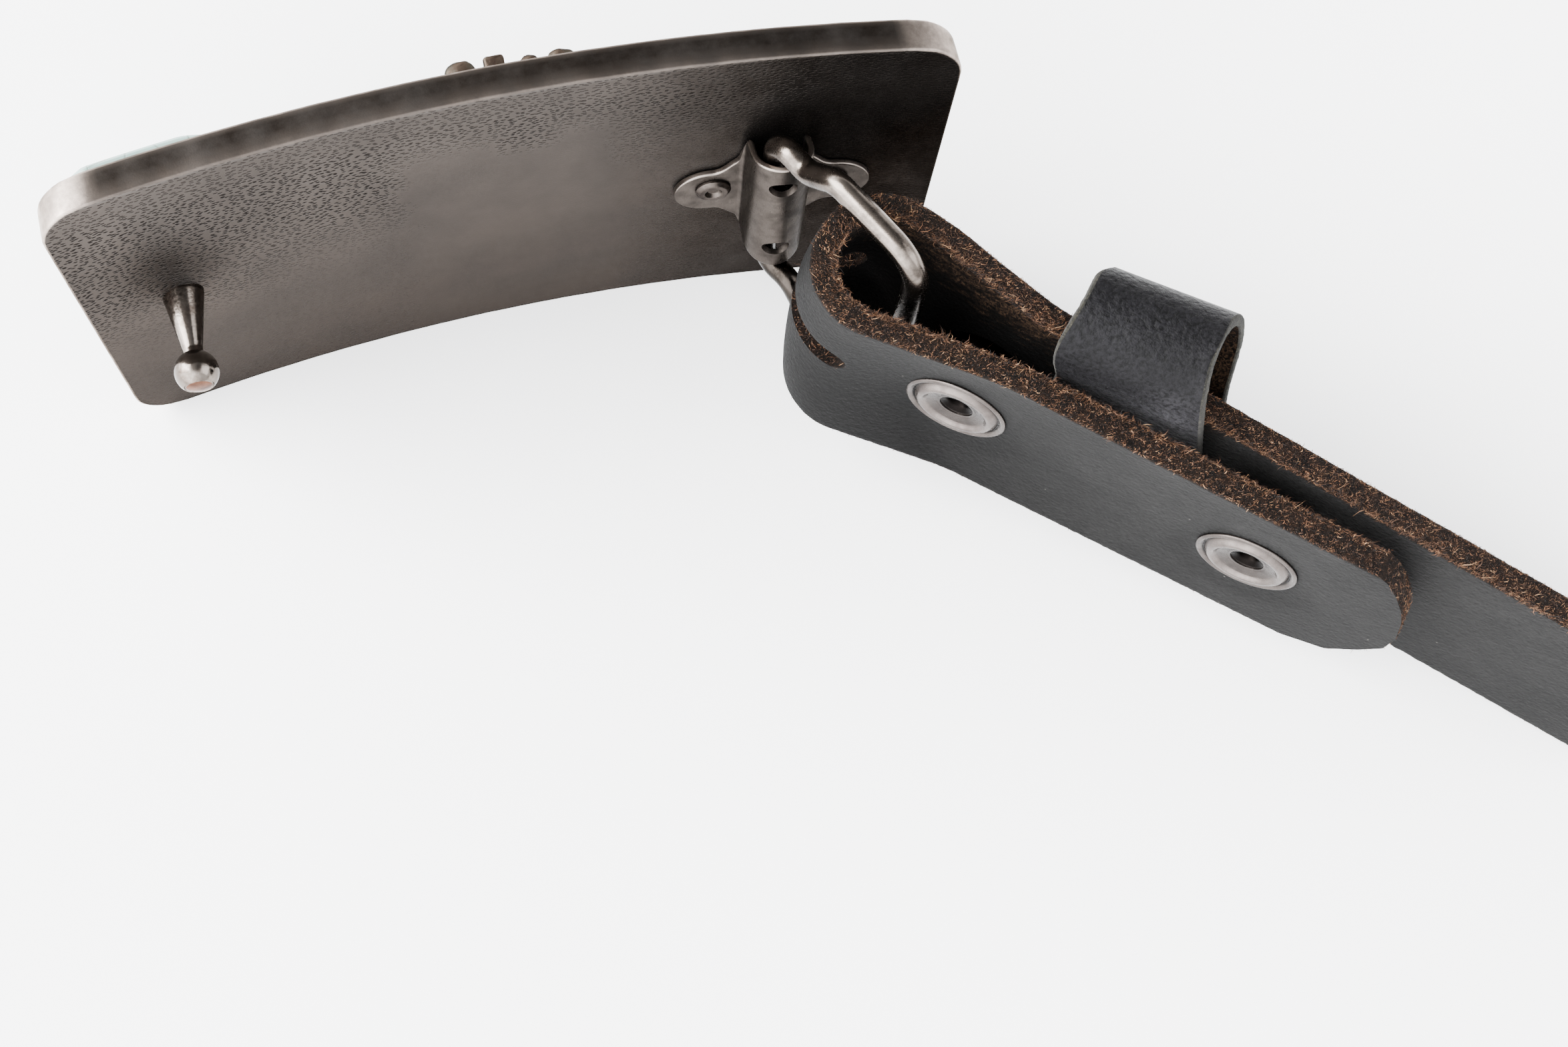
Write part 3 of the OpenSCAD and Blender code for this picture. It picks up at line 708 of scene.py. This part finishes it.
# ---- bail ----
def make_bail():
    rows = [[0, -16.3, 2.8], [5.4, -15.6, 3], [10.2, -20.4, 4], [24.6, -20.4, 4.6],
            [24.6, 20.4, 4.6], [10.2, 20.4, 4], [5.4, 15.6, 3], [0, 16.3, 2.8]]
    path = fillet(rows, [16, 12, 12, 18, 18, 12, 12, 16], [4, 5, 22, 44, 22, 5, 4, 40], closed=True)
    a = np.linspace(0, 2 * math.pi, 28, endpoint=False)
    # the drawn wire isn't quite even
    radius = WIRE / 2 * (1 + 0.012 * np.sin(np.arange(len(path)) * 0.21))
    inward, up = (f(a)[None, :, None] * radius[:, None, None] for f in (np.cos, np.sin))
    flat = path[:, None] + side_of(path, closed=True)[:, None] * inward
    points = np.concatenate([flat[..., :1], up, flat[..., 1:]], -1)
    points = put(moved(*HINGE, HARDWARE_Z) @ turned(-BAIL_ANGLE, "Z"), points)
    faces = grid(len(path), len(a), True, True)
    obj = add_piece("bail_wire", points, faces, [wire_metal], "bail", ["bail"], sharp=80)
    # painted shade: the wire is darker below the strap's fold, where it lies between the plate and the
    # leather; above the fold it keeps its colour
    paint(obj, soil=0.8 * smooth(43, 36, points[:, 2]))


# ---- strap ----
# corners and bend radii of the leather's middle, from above: at its upper edge, half height and lower edge
TOP, MID, LOW = (np.array([(STRAP_END, MAIN_Y, 0), *corners, (67.4, -8.85, 0)]) for corners in (
    [(9, MAIN_Y, 34), (-9, 0.1, 34), (-19.1, -0.15, 7.3), (-19.1, -16.6, 7.1), (8, -11.7, 60)],
    [(-1.3, MAIN_Y, 8), (-10.2, 0, 8), (-18.85, 0, 6.8), (-18.85, -17.4, 7.3), (-0.5, -10.8, 12)],
    [(-1.3, MAIN_Y, 8), (-9.2, 0.1, 8), (-15.9, 0.1, 6.3), (-15.9, -17.2, 7.0), (9, -12.3, 40)]))
BENDS, STRAIGHTS = [1, 9, 9, 24, 24, 12, 1], [120, 9, 2, 2, 24, 92]
# how far the tab reaches, by height across it
TAB_REACH = np.array([[-16.2, 56.7], [-13.4, 63.6], [-8.4, 66.2], [-4, 67.7], [0.7, 67.2], [5.7, 65.4],
                      [9.1, 63.7], [12.7, 61.1], [15.1, 58.8], [16, 57]])
ACROSS, EDGE = 62, 7  # columns over each face and over each cut edge
OTHER = ACROSS + EDGE + 4  # the first column of the other face
BEHIND = OTHER + ACROSS - 1  # the column behind the first


def strap_path(w):
    """The leather's middle at a height across it, from its far end round the fold to the tab's end."""
    h = w / HALF_WIDTH
    rows = TOP * (h * h + h) / 2 + MID * (1 - h * h) + LOW * (h * h - h) / 2
    slope = (rows[6, 1] - rows[5, 1]) / (rows[6, 0] - rows[5, 0])
    rows[6, 0] = np.interp(w, *TAB_REACH.T)
    rows[6, 1] = rows[5, 1] + slope * (rows[6, 0] - rows[5, 0])
    return fillet(rows, BENDS, STRAIGHTS)


def make_strap():
    """Returns what the fibres need: points, columns, how far along each point is, and the slot's ends."""
    radius, columns = 0.42, section(ACROSS, EDGE)
    w = offsets(columns, 0, HALF_WIDTH, radius)
    lanes = [strap_path(v) for v in w]
    paths, sides = np.stack(lanes, 1), np.stack([side_of(lane) for lane in lanes], 1)
    # full leather, pressed thinner round the snaps
    far = np.min([np.hypot(paths[..., 0] - u, w) for u, _, _ in SNAPS], 0)
    full = 3.3 + 0.3 * smooth(4, 16, paths[..., 0])
    thick = LEATHER + (full - LEATHER) * smooth(6.6, 12, far)
    flat = paths + sides * offsets(columns, 2, thick / 2, radius)[..., None]
    points = np.stack(np.broadcast_arrays(flat[..., 0], flat[..., 1], w), -1)
    # the cut edges are a little uneven
    is_edge = columns[:, 4] == 0
    wobble = rng.normal(0, 0.07, points.shape[:2])
    points[..., 2] += np.where(is_edge, wobble + 0.12 * (1 - columns[:, 2] ** 2) * np.sign(w), 0)
    middle = ACROSS // 2
    fold = int(np.argmin(paths[:, middle, 0]))
    reach = lengths(paths)
    reach = reach - reach[fold]

    def on_main(u):
        return np.interp(-u, -paths[:fold, middle, 0], reach[:fold, middle])

    def on_tab(u):
        return np.interp(u, paths[fold:, middle, 0], reach[fold:, middle])

    slot = on_main(SLOT_ENDS[0]), on_tab(SLOT_ENDS[1])
    snaps = [f(u) for u, _, _ in SNAPS for f in (on_main, on_tab)]

    def outside(p, q):
        """Outside the prong slot and the snaps' holes."""
        along = np.maximum(np.abs(p - (slot[0] + slot[1]) / 2) - (slot[1] - slot[0]) / 2, 0)
        return np.min([np.hypot(along, q - SLOT_Z) - SLOT_RADIUS,
                       *(np.hypot(p - place, q) - SNAP_HOLE for place in snaps)], 0)

    points, kept, lining = pierce(points, ACROSS, outside, (reach, np.broadcast_to(w, reach.shape)))
    raw = np.tile(is_edge | np.roll(is_edge, -1), len(points) - 1)
    faces = [f for f in kept if f] + lining
    index = [int(r) for f, r in zip(kept, raw) if f] + [1] * len(lining)
    count = len(columns)
    for base, flip in ((0, False), ((len(points) - 1) * count, True)):
        behind = base + BEHIND
        caps = [[base + k, base + k + 1, behind - 1 - k, behind - k] for k in range(ACROSS - 1)]
        caps += [[*range(base + ACROSS - 1, base + OTHER + 1)], [*range(behind, base + count), base]]
        faces += [c if flip else c[::-1] for c in caps]
        index += [1] * len(caps)
    obj = add_piece("strap_folded", put(STRAP, points), faces, [strap_face, strap_raw], "bail",
                    ["strap"], index=index, sharp=60)
    # dustier along the tab and towards its upper edge than round the fold
    u, height = points[..., 0], points[..., 2] / HALF_WIDTH
    dust = 0.12 + 0.75 * smooth(-4, 34, u) * (0.6 + 0.4 * smooth(-0.9, 0.6, height))
    dust = dust + 0.5 * smooth(0.45, 0.98, height) * (1 - smooth(0, 25, u))
    # painted shade: the inner face round the fold, inside the loop, is made near black, and the fuzz follows
    # it towards the upper edge
    flesh = (columns[:, 2] > 0.9) * (1 - smooth(22, 36, u))
    fuzz = flesh * smooth(0.6, 1.05, height + 0.12 * rng.normal(0, 1, height.shape))
    paint(obj, dust=dust, flesh=flesh, fuzz=fuzz)
    return points, columns, reach, slot


def blend(a, b, c, d, s, t):
    """Places between four corners: by s from a to c and from b to d, and by t between these."""
    return (a * (1 - s) + c * s) * (1 - t) + (b * (1 - s) + d * s) * t


def slot_wall(turn, points, reach, slot):
    """Places on the slot's edge, on both faces, and on the slot's middle line, by turns round it."""
    a = np.linspace(0, 2 * math.pi, 65)
    ring = np.stack([np.where(np.cos(a) >= 0, slot[1], slot[0]) + SLOT_RADIUS * np.cos(a),
                     SLOT_Z + SLOT_RADIUS * np.sin(a)], 1)
    along = lengths(ring)
    p, q = (np.interp(turn % 1.0 * along[-1], along, ring[:, n]) for n in (0, 1))
    places = []
    for first, to_p, to_q in ((0, p, q), (OTHER, p, q), (0, np.clip(p, *slot), np.full_like(q, SLOT_Z))):
        face = points[:, first:first + ACROSS]
        run = reach[:, first + np.argmin(np.abs(face[0, :, 2] - SLOT_Z))]
        face = face[:, np.argsort(face[0, :, 2])]
        row = np.interp(to_p, run, np.arange(len(run)))
        column = np.interp(to_q, face[0, :, 2], np.arange(ACROSS))
        i, j = row.astype(int).clip(0, len(run) - 2), column.astype(int).clip(0, ACROSS - 2)
        places.append(blend(face[i, j], face[i, j + 1], face[i + 1, j], face[i + 1, j + 1],
                            (row - i)[:, None], (column - j)[:, None]))
    return places


def make_fibres(place, columns, reach, slot):
    """Loose fibres of the cut leather: a mat over both edges, both ends and the slot's wall, and longer tufts
    along the upper edge's inner side."""
    cut = np.flatnonzero((columns[:, 4] == 0) & (np.abs(columns[:, 2]) <= 1))
    upper, lower = cut[columns[cut, 0] > 0], cut[columns[cut, 0] < 0]
    inner = upper[columns[upper, 2] > 0.5]
    run = place[:, upper[len(upper) // 2]]
    weight = np.linalg.norm(np.diff(run, axis=0), axis=-1)
    near_fold = np.where(run[:-1, 0] < 30, 1.6, 1)
    clumps = rng.random(997)
    points, faces, shades, total = [], [], [], 0
    # where: the columns of an edge, or the row of an end
    for kind, where, number, long, lift in (
            ("edge", upper, 30000, 0.42, 0.55), ("tuft", inner, 8000, 0.85, 1.0),
            ("edge", lower, 5000, 0.4, 0.5), ("end", -1, 3000, 0.45, 0.55), ("end", 0, 3000, 0.4, 0.5),
            ("slot", None, 2600, 0.5, 0.6)):
        share = weight * near_fold if kind == "tuft" else weight
        i = rng.choice(len(weight), number, p=share / share.sum())
        s, t = rng.random((2, number))
        # four corners round each root, a to c along the cut and a to b through the leather, and a way out
        if kind == "end":
            k = rng.integers(0, ACROSS - 1, number)
            a, b, c, e = (place[where, j] for j in (k, BEHIND - k, k + 1, BEHIND - 1 - k))
            toward = a - place[-2 if where else 1, k]
        elif kind == "slot":
            turn = rng.random(number)
            (a, b, middle), (c, e, _) = (slot_wall(v, place, reach, slot) for v in (turn, turn + 0.004))
            toward = middle - a
        else:
            k = rng.integers(0, len(where) - 1, number)
            a, b, c, e = (place[m, where[n]] for m, n in ((i, k), (i, k + 1), (i + 1, k), (i + 1, k + 1)))
            toward = np.array([[0, 0, -1 if where is lower else 1]])
        root = blend(a, b, c, e, s[:, None], t[:, None])
        along, over = unit(c - a + e - b), unit(b - a + e - c)
        out = unit(np.cross(over, along))
        out *= np.sign((out * toward).sum(1))[:, None]
        if kind == "tuft":
            # the tufts hang over the inner side
            inside = (over * (place[i, columns[:, 2].argmax()] - place[i, columns[:, 2].argmin()])).sum(1)
            out = unit(out + 0.7 * over * np.sign(inside)[:, None])
        lean = rng.normal(0, 1, (3, number, 1))
        way = unit(out * lift + along * lean[0] * 0.8 + over * lean[1] * 0.8)
        curl = unit(along * lean[2] + over * lean[0] - out * 0.4)
        # longer and lighter in clumps
        clump = clumps[(np.floor(root / 0.5).astype(int) @ [73, 19, 151]) % len(clumps)]
        size = long * (rng.gamma(2.4, 0.3, number).clip(0.2, 1.6) * (0.5 + clump))[:, None]
        wide = unit(np.cross(way, rng.normal(0, 1, (number, 3)))) * rng.uniform(0.018, 0.05, number)[:, None]
        tip = root + way * size * 0.75 + curl * size * 0.5
        mid = root + way * size * 0.5 + curl * size * 0.12
        root = root - way * 0.12
        blade = [root - wide, root + wide, mid - wide * 0.8, mid + wide * 0.8, tip]
        points.append(np.stack(blade, 1).reshape(-1, 3))
        shades.append(np.repeat(np.clip(rng.beta(1.5, 2.6, number) * 0.8 + 0.35 * clump, 0, 1), 5))
        n = total + 5 * np.arange(number)[:, None]
        faces += (n + [0, 1, 3, 2]).tolist() + (n + [2, 3, 4]).tolist()
        total += 5 * number
    obj = add_piece("strap_edge_fibres", put(STRAP, np.concatenate(points)), faces, [fibre_look], "bail",
                    sharp=80)
    paint(obj, shade=np.concatenate(shades))


# ---- keeper ----
KEEPER = STRAP @ moved(22.8, 0, 0) @ turned(-8, "Y") @ moved(0, -3, 0) @ turned(5, "Z") @ moved(0, 3, 0)


def make_keeper():
    """A loose band round the main strap. Its loop is drawn as seen along the strap."""
    rows = [[-7, -19, 2.6], [-7, 24, 6.3], [4.6, 24, 4.9], [4.6, 16.4, 4], [0.5, 10.5, 8], [0.5, -19, 2.6]]
    path = fillet(rows, [10, 20, 18, 10, 12, 10], [60, 3, 4, 8, 40, 4], closed=True)
    columns = section(26, 4)
    radius, thick, half = 0.3, 1.4, 9.5
    d = offsets(columns, 2, thick / 2, radius)
    flat = path[:, None] + side_of(path, closed=True)[:, None] * d[:, None]
    across = offsets(columns, 0, half, radius)
    points = np.stack(np.broadcast_arrays(across, flat[..., 0], flat[..., 1]), -1)
    edge = columns[:, 4] == 0
    x, y, z = np.moveaxis(points, -1, 0)
    x += np.where(edge, rng.normal(0, 0.03, x.shape), 0)
    # pulled out of shape: skewed, narrower at its top, and its crest is higher
    side, rear = x / half, smooth(1.5, 4.5, y)
    drop, near = np.clip((24 - z) / 16, 0, 1), np.clip((24.5 - z) / 9, 0, 1)
    right = 3.6 * drop - 1.9 - 1.1 * (1 - drop) ** 3
    left = (0.9 * np.sin(math.pi * near) - 0.5 * near) * (1 - rear) - 1.1 * rear + 0.3 * (1 - near)
    x += 0.09 * (y + 7) + side * np.where(side > 0, right, left)
    z += (2.0 + 0.3 * side) * smooth(12, 24, z)
    raw = np.tile(edge | np.roll(edge, -1), len(path))
    faces = grid(len(path), len(columns), True, True)
    obj = add_piece("keeper_loop", put(KEEPER, points), faces, [keeper_face, keeper_raw], "bail",
                    ["keeper"], index=raw, sharp=60)
    # painted sheen: a broad lit zone across the front wall, laid in with the lighter dust colour
    glow = np.exp(-((x - 2.5) / 8) ** 2 - ((z - 12 - 0.5 * x) / 7) ** 2)
    # painted shade: the loop's inner face is made near black, with some fuzz
    inner = np.tile(1.0 * (columns[:, 2] < -0.99), len(path))
    paint(obj, dust=0.2 + 0.8 * glow, flesh=inner, fuzz=0.7 * inner)


# ---- snaps ----
def make_ring(k, place, gap):
    """The ring on the tab's face, with its socket in the gap behind the tab."""
    rim, back = 6.7, -FACE - gap + 1.1
    socket = [[1.1, back, 0], [2.2, back, 0.2], [2.3, -2.2, 0.05], [4.8, -2.2, 0.1], [4.8, -1.65, 0.1],
              [2.2, -1.6, 0.05]]
    front = [[2.2, 0.1, 0.02], [rim, 0.05, 0.1], [rim, 0.4, 0.18], [rim - 0.4, 0.62, 0.2],
             [rim - 0.85, 0.3, 0.1], [rim - 1.0, 0.1, 0.05], [rim - 1.2, 0.3, 0.1], [rim - 1.75, 0.96, 0.4],
             [4.4, 0.96, 0.3], [3.85, 0.42, 0.2], [2.6, 0.15, 0.6], [1.5, -0.6, 0.5], [1.1, -1.6, 0.2]]
    rows = np.concatenate([socket, lifted(front, FACE)])
    profile = fillet(rows, [3] * len(rows), [1] * len(rows), closed=True)
    points, faces = lathe(profile, 72)[0], grid(len(profile), 72, True, True)
    obj = add_piece(f"snap_ring_face_{k}", put(place, points), faces, [snap_metal], "bail",
                    [f"snap_ring_{k}"], sharp=50)
    # painted shade: darker in the groove and the recess, darkest down the bore and on the socket behind the
    # tab
    r = np.hypot(points[:, 0], points[:, 1])
    soil = np.exp(-((r - rim + 1) / 0.22) ** 2) + 0.62 * smooth(4.1, 3.7, r) + 0.38 * smooth(2.4, 1.6, r)
    soil = soil + 0.3 * smooth(rim - 0.9, rim - 0.5, r) + (points[:, 2] < FACE - 0.2)
    paint(obj, soil=np.clip(soil, 0, 1))


def make_cap(k, place, gap):
    """The domed cap on the main strap's outer face, with its stud in the gap."""
    rim, deep = 5.6, gap * 0.46
    under = [[0, -0.6, 0], [3, -0.6, 0.1], [3, -deep, 0.1], [4.9, -deep, 0.15], [5.3, 0.5 - deep, 0.2],
             [5.3, -0.1, 0.05], [1.8, -0.1, 0.05]]
    front = [[1.8, 0.1, 0.05], [rim, 0.05, 0.1], [rim, 0.45, 0.2], [rim - 0.7, 0.95, 0.6],
             [rim - 3, 1.3, 2.0], [0, 1.4, 0]]
    profile = fillet(np.concatenate([lifted(under, -FACE), lifted(front, FACE)]),
                     [1] + [3] * 8 + [4, 6, 6, 1], [1] * 12)
    points, faces = lathe(profile, 64)
    obj = add_piece(f"snap_cap_dome_{k}", put(place, points), faces, [snap_metal], "bail",
                    [f"snap_cap_{k}"], sharp=50, weld=True)
    # painted shade on the cap's parts below the leather's face, in the gap between the layers
    welded = np.array([v.co for v in obj.data.vertices]) / MM
    paint(obj, soil=put(np.linalg.inv(place), welded)[:, 2] < FACE - 0.2)


def make_snaps():
    for k, (u, y, slope) in enumerate(SNAPS, 1):
        gap = MAIN_Y - y - LEATHER
        make_ring(k, STRAP @ moved(u, y, 0) @ turned(slope, "Z") @ turned(90, "X"), gap)
        make_cap(k, STRAP @ moved(u, MAIN_Y, 0) @ turned(-90, "X"), gap)


make_plate()
make_tile()
make_ornament()
make_stud()
make_bracket()
make_rivets()
make_bail()
make_fibres(*make_strap())
make_keeper()
make_snaps()

# ---- floor, light and camera ----
bpy.ops.mesh.primitive_plane_add(size=8, location=(0, 0, 0))
floor = bpy.context.object
floor.name = "floor"
floor.data.materials.append(floor_look())


def make_room():
    """Bright walls, brightest at the left, and a dim place overhead."""
    room = Look("soft_room", world=True)
    bpy.context.scene.world = room.owner
    toward = room.coordinates["Generated"]
    overhead = room.node("VectorMath", {0: toward, 1: (0.12, 0.3, 0.945)}, operation="DOT_PRODUCT")
    sideways = room.node("SeparateXYZ", {"Vector": toward})
    ceiling = room.between(overhead.outputs["Value"], 0.62, 0.9, 1.0, 0.12, interpolation_type="SMOOTHSTEP")
    walls = room.between(sideways.outputs["X"], -0.8, 0.5, 15.2, 2.8, interpolation_type="SMOOTHSTEP")
    room.finish(Color=(0.98, 0.985, 1.0), Strength=room.times(ceiling, walls))


def softbox(name, place, aim, size, power, tint):
    data = bpy.data.lights.new(name, "AREA")
    data.shape, data.size, data.size_y = "RECTANGLE", *size
    data.energy, data.color = power, tint
    lamp = add_object(name, data)
    lamp.location = place
    lamp.rotation_mode = "QUATERNION"
    lamp.rotation_quaternion = (Vector(aim) - Vector(place)).to_track_quat("-Z", "Y")


def make_camera():
    """The camera fitted to the photo, turned by its azimuth, elevation and roll."""
    camera = add_object("camera", bpy.data.cameras.new("camera"))
    bpy.context.scene.camera = camera
    camera.data.lens, camera.data.sensor_width = 49.99, 36.0
    camera.data.clip_start, camera.data.clip_end = 0.01, 20
    turn = turned(-25.08, "Z") @ turned(90 - 71.68, "X") @ turned(11.78, "Z")
    camera.matrix_world = Matrix(moved(-0.0123, -0.12295, 0.28049) @ turn)


make_room()
softbox("window_left", (-0.75, 0.25, 0.75), (0.02, -0.02, 0), (0.7, 0.9), 34.0, (1, 0.99, 0.975))
softbox("fill_right", (0.8, -0.3, 0.7), (0.03, -0.03, 0), (0.8, 0.8), 9.0, (0.97, 0.98, 1))
make_camera()

bpy.context.view_layer.update()
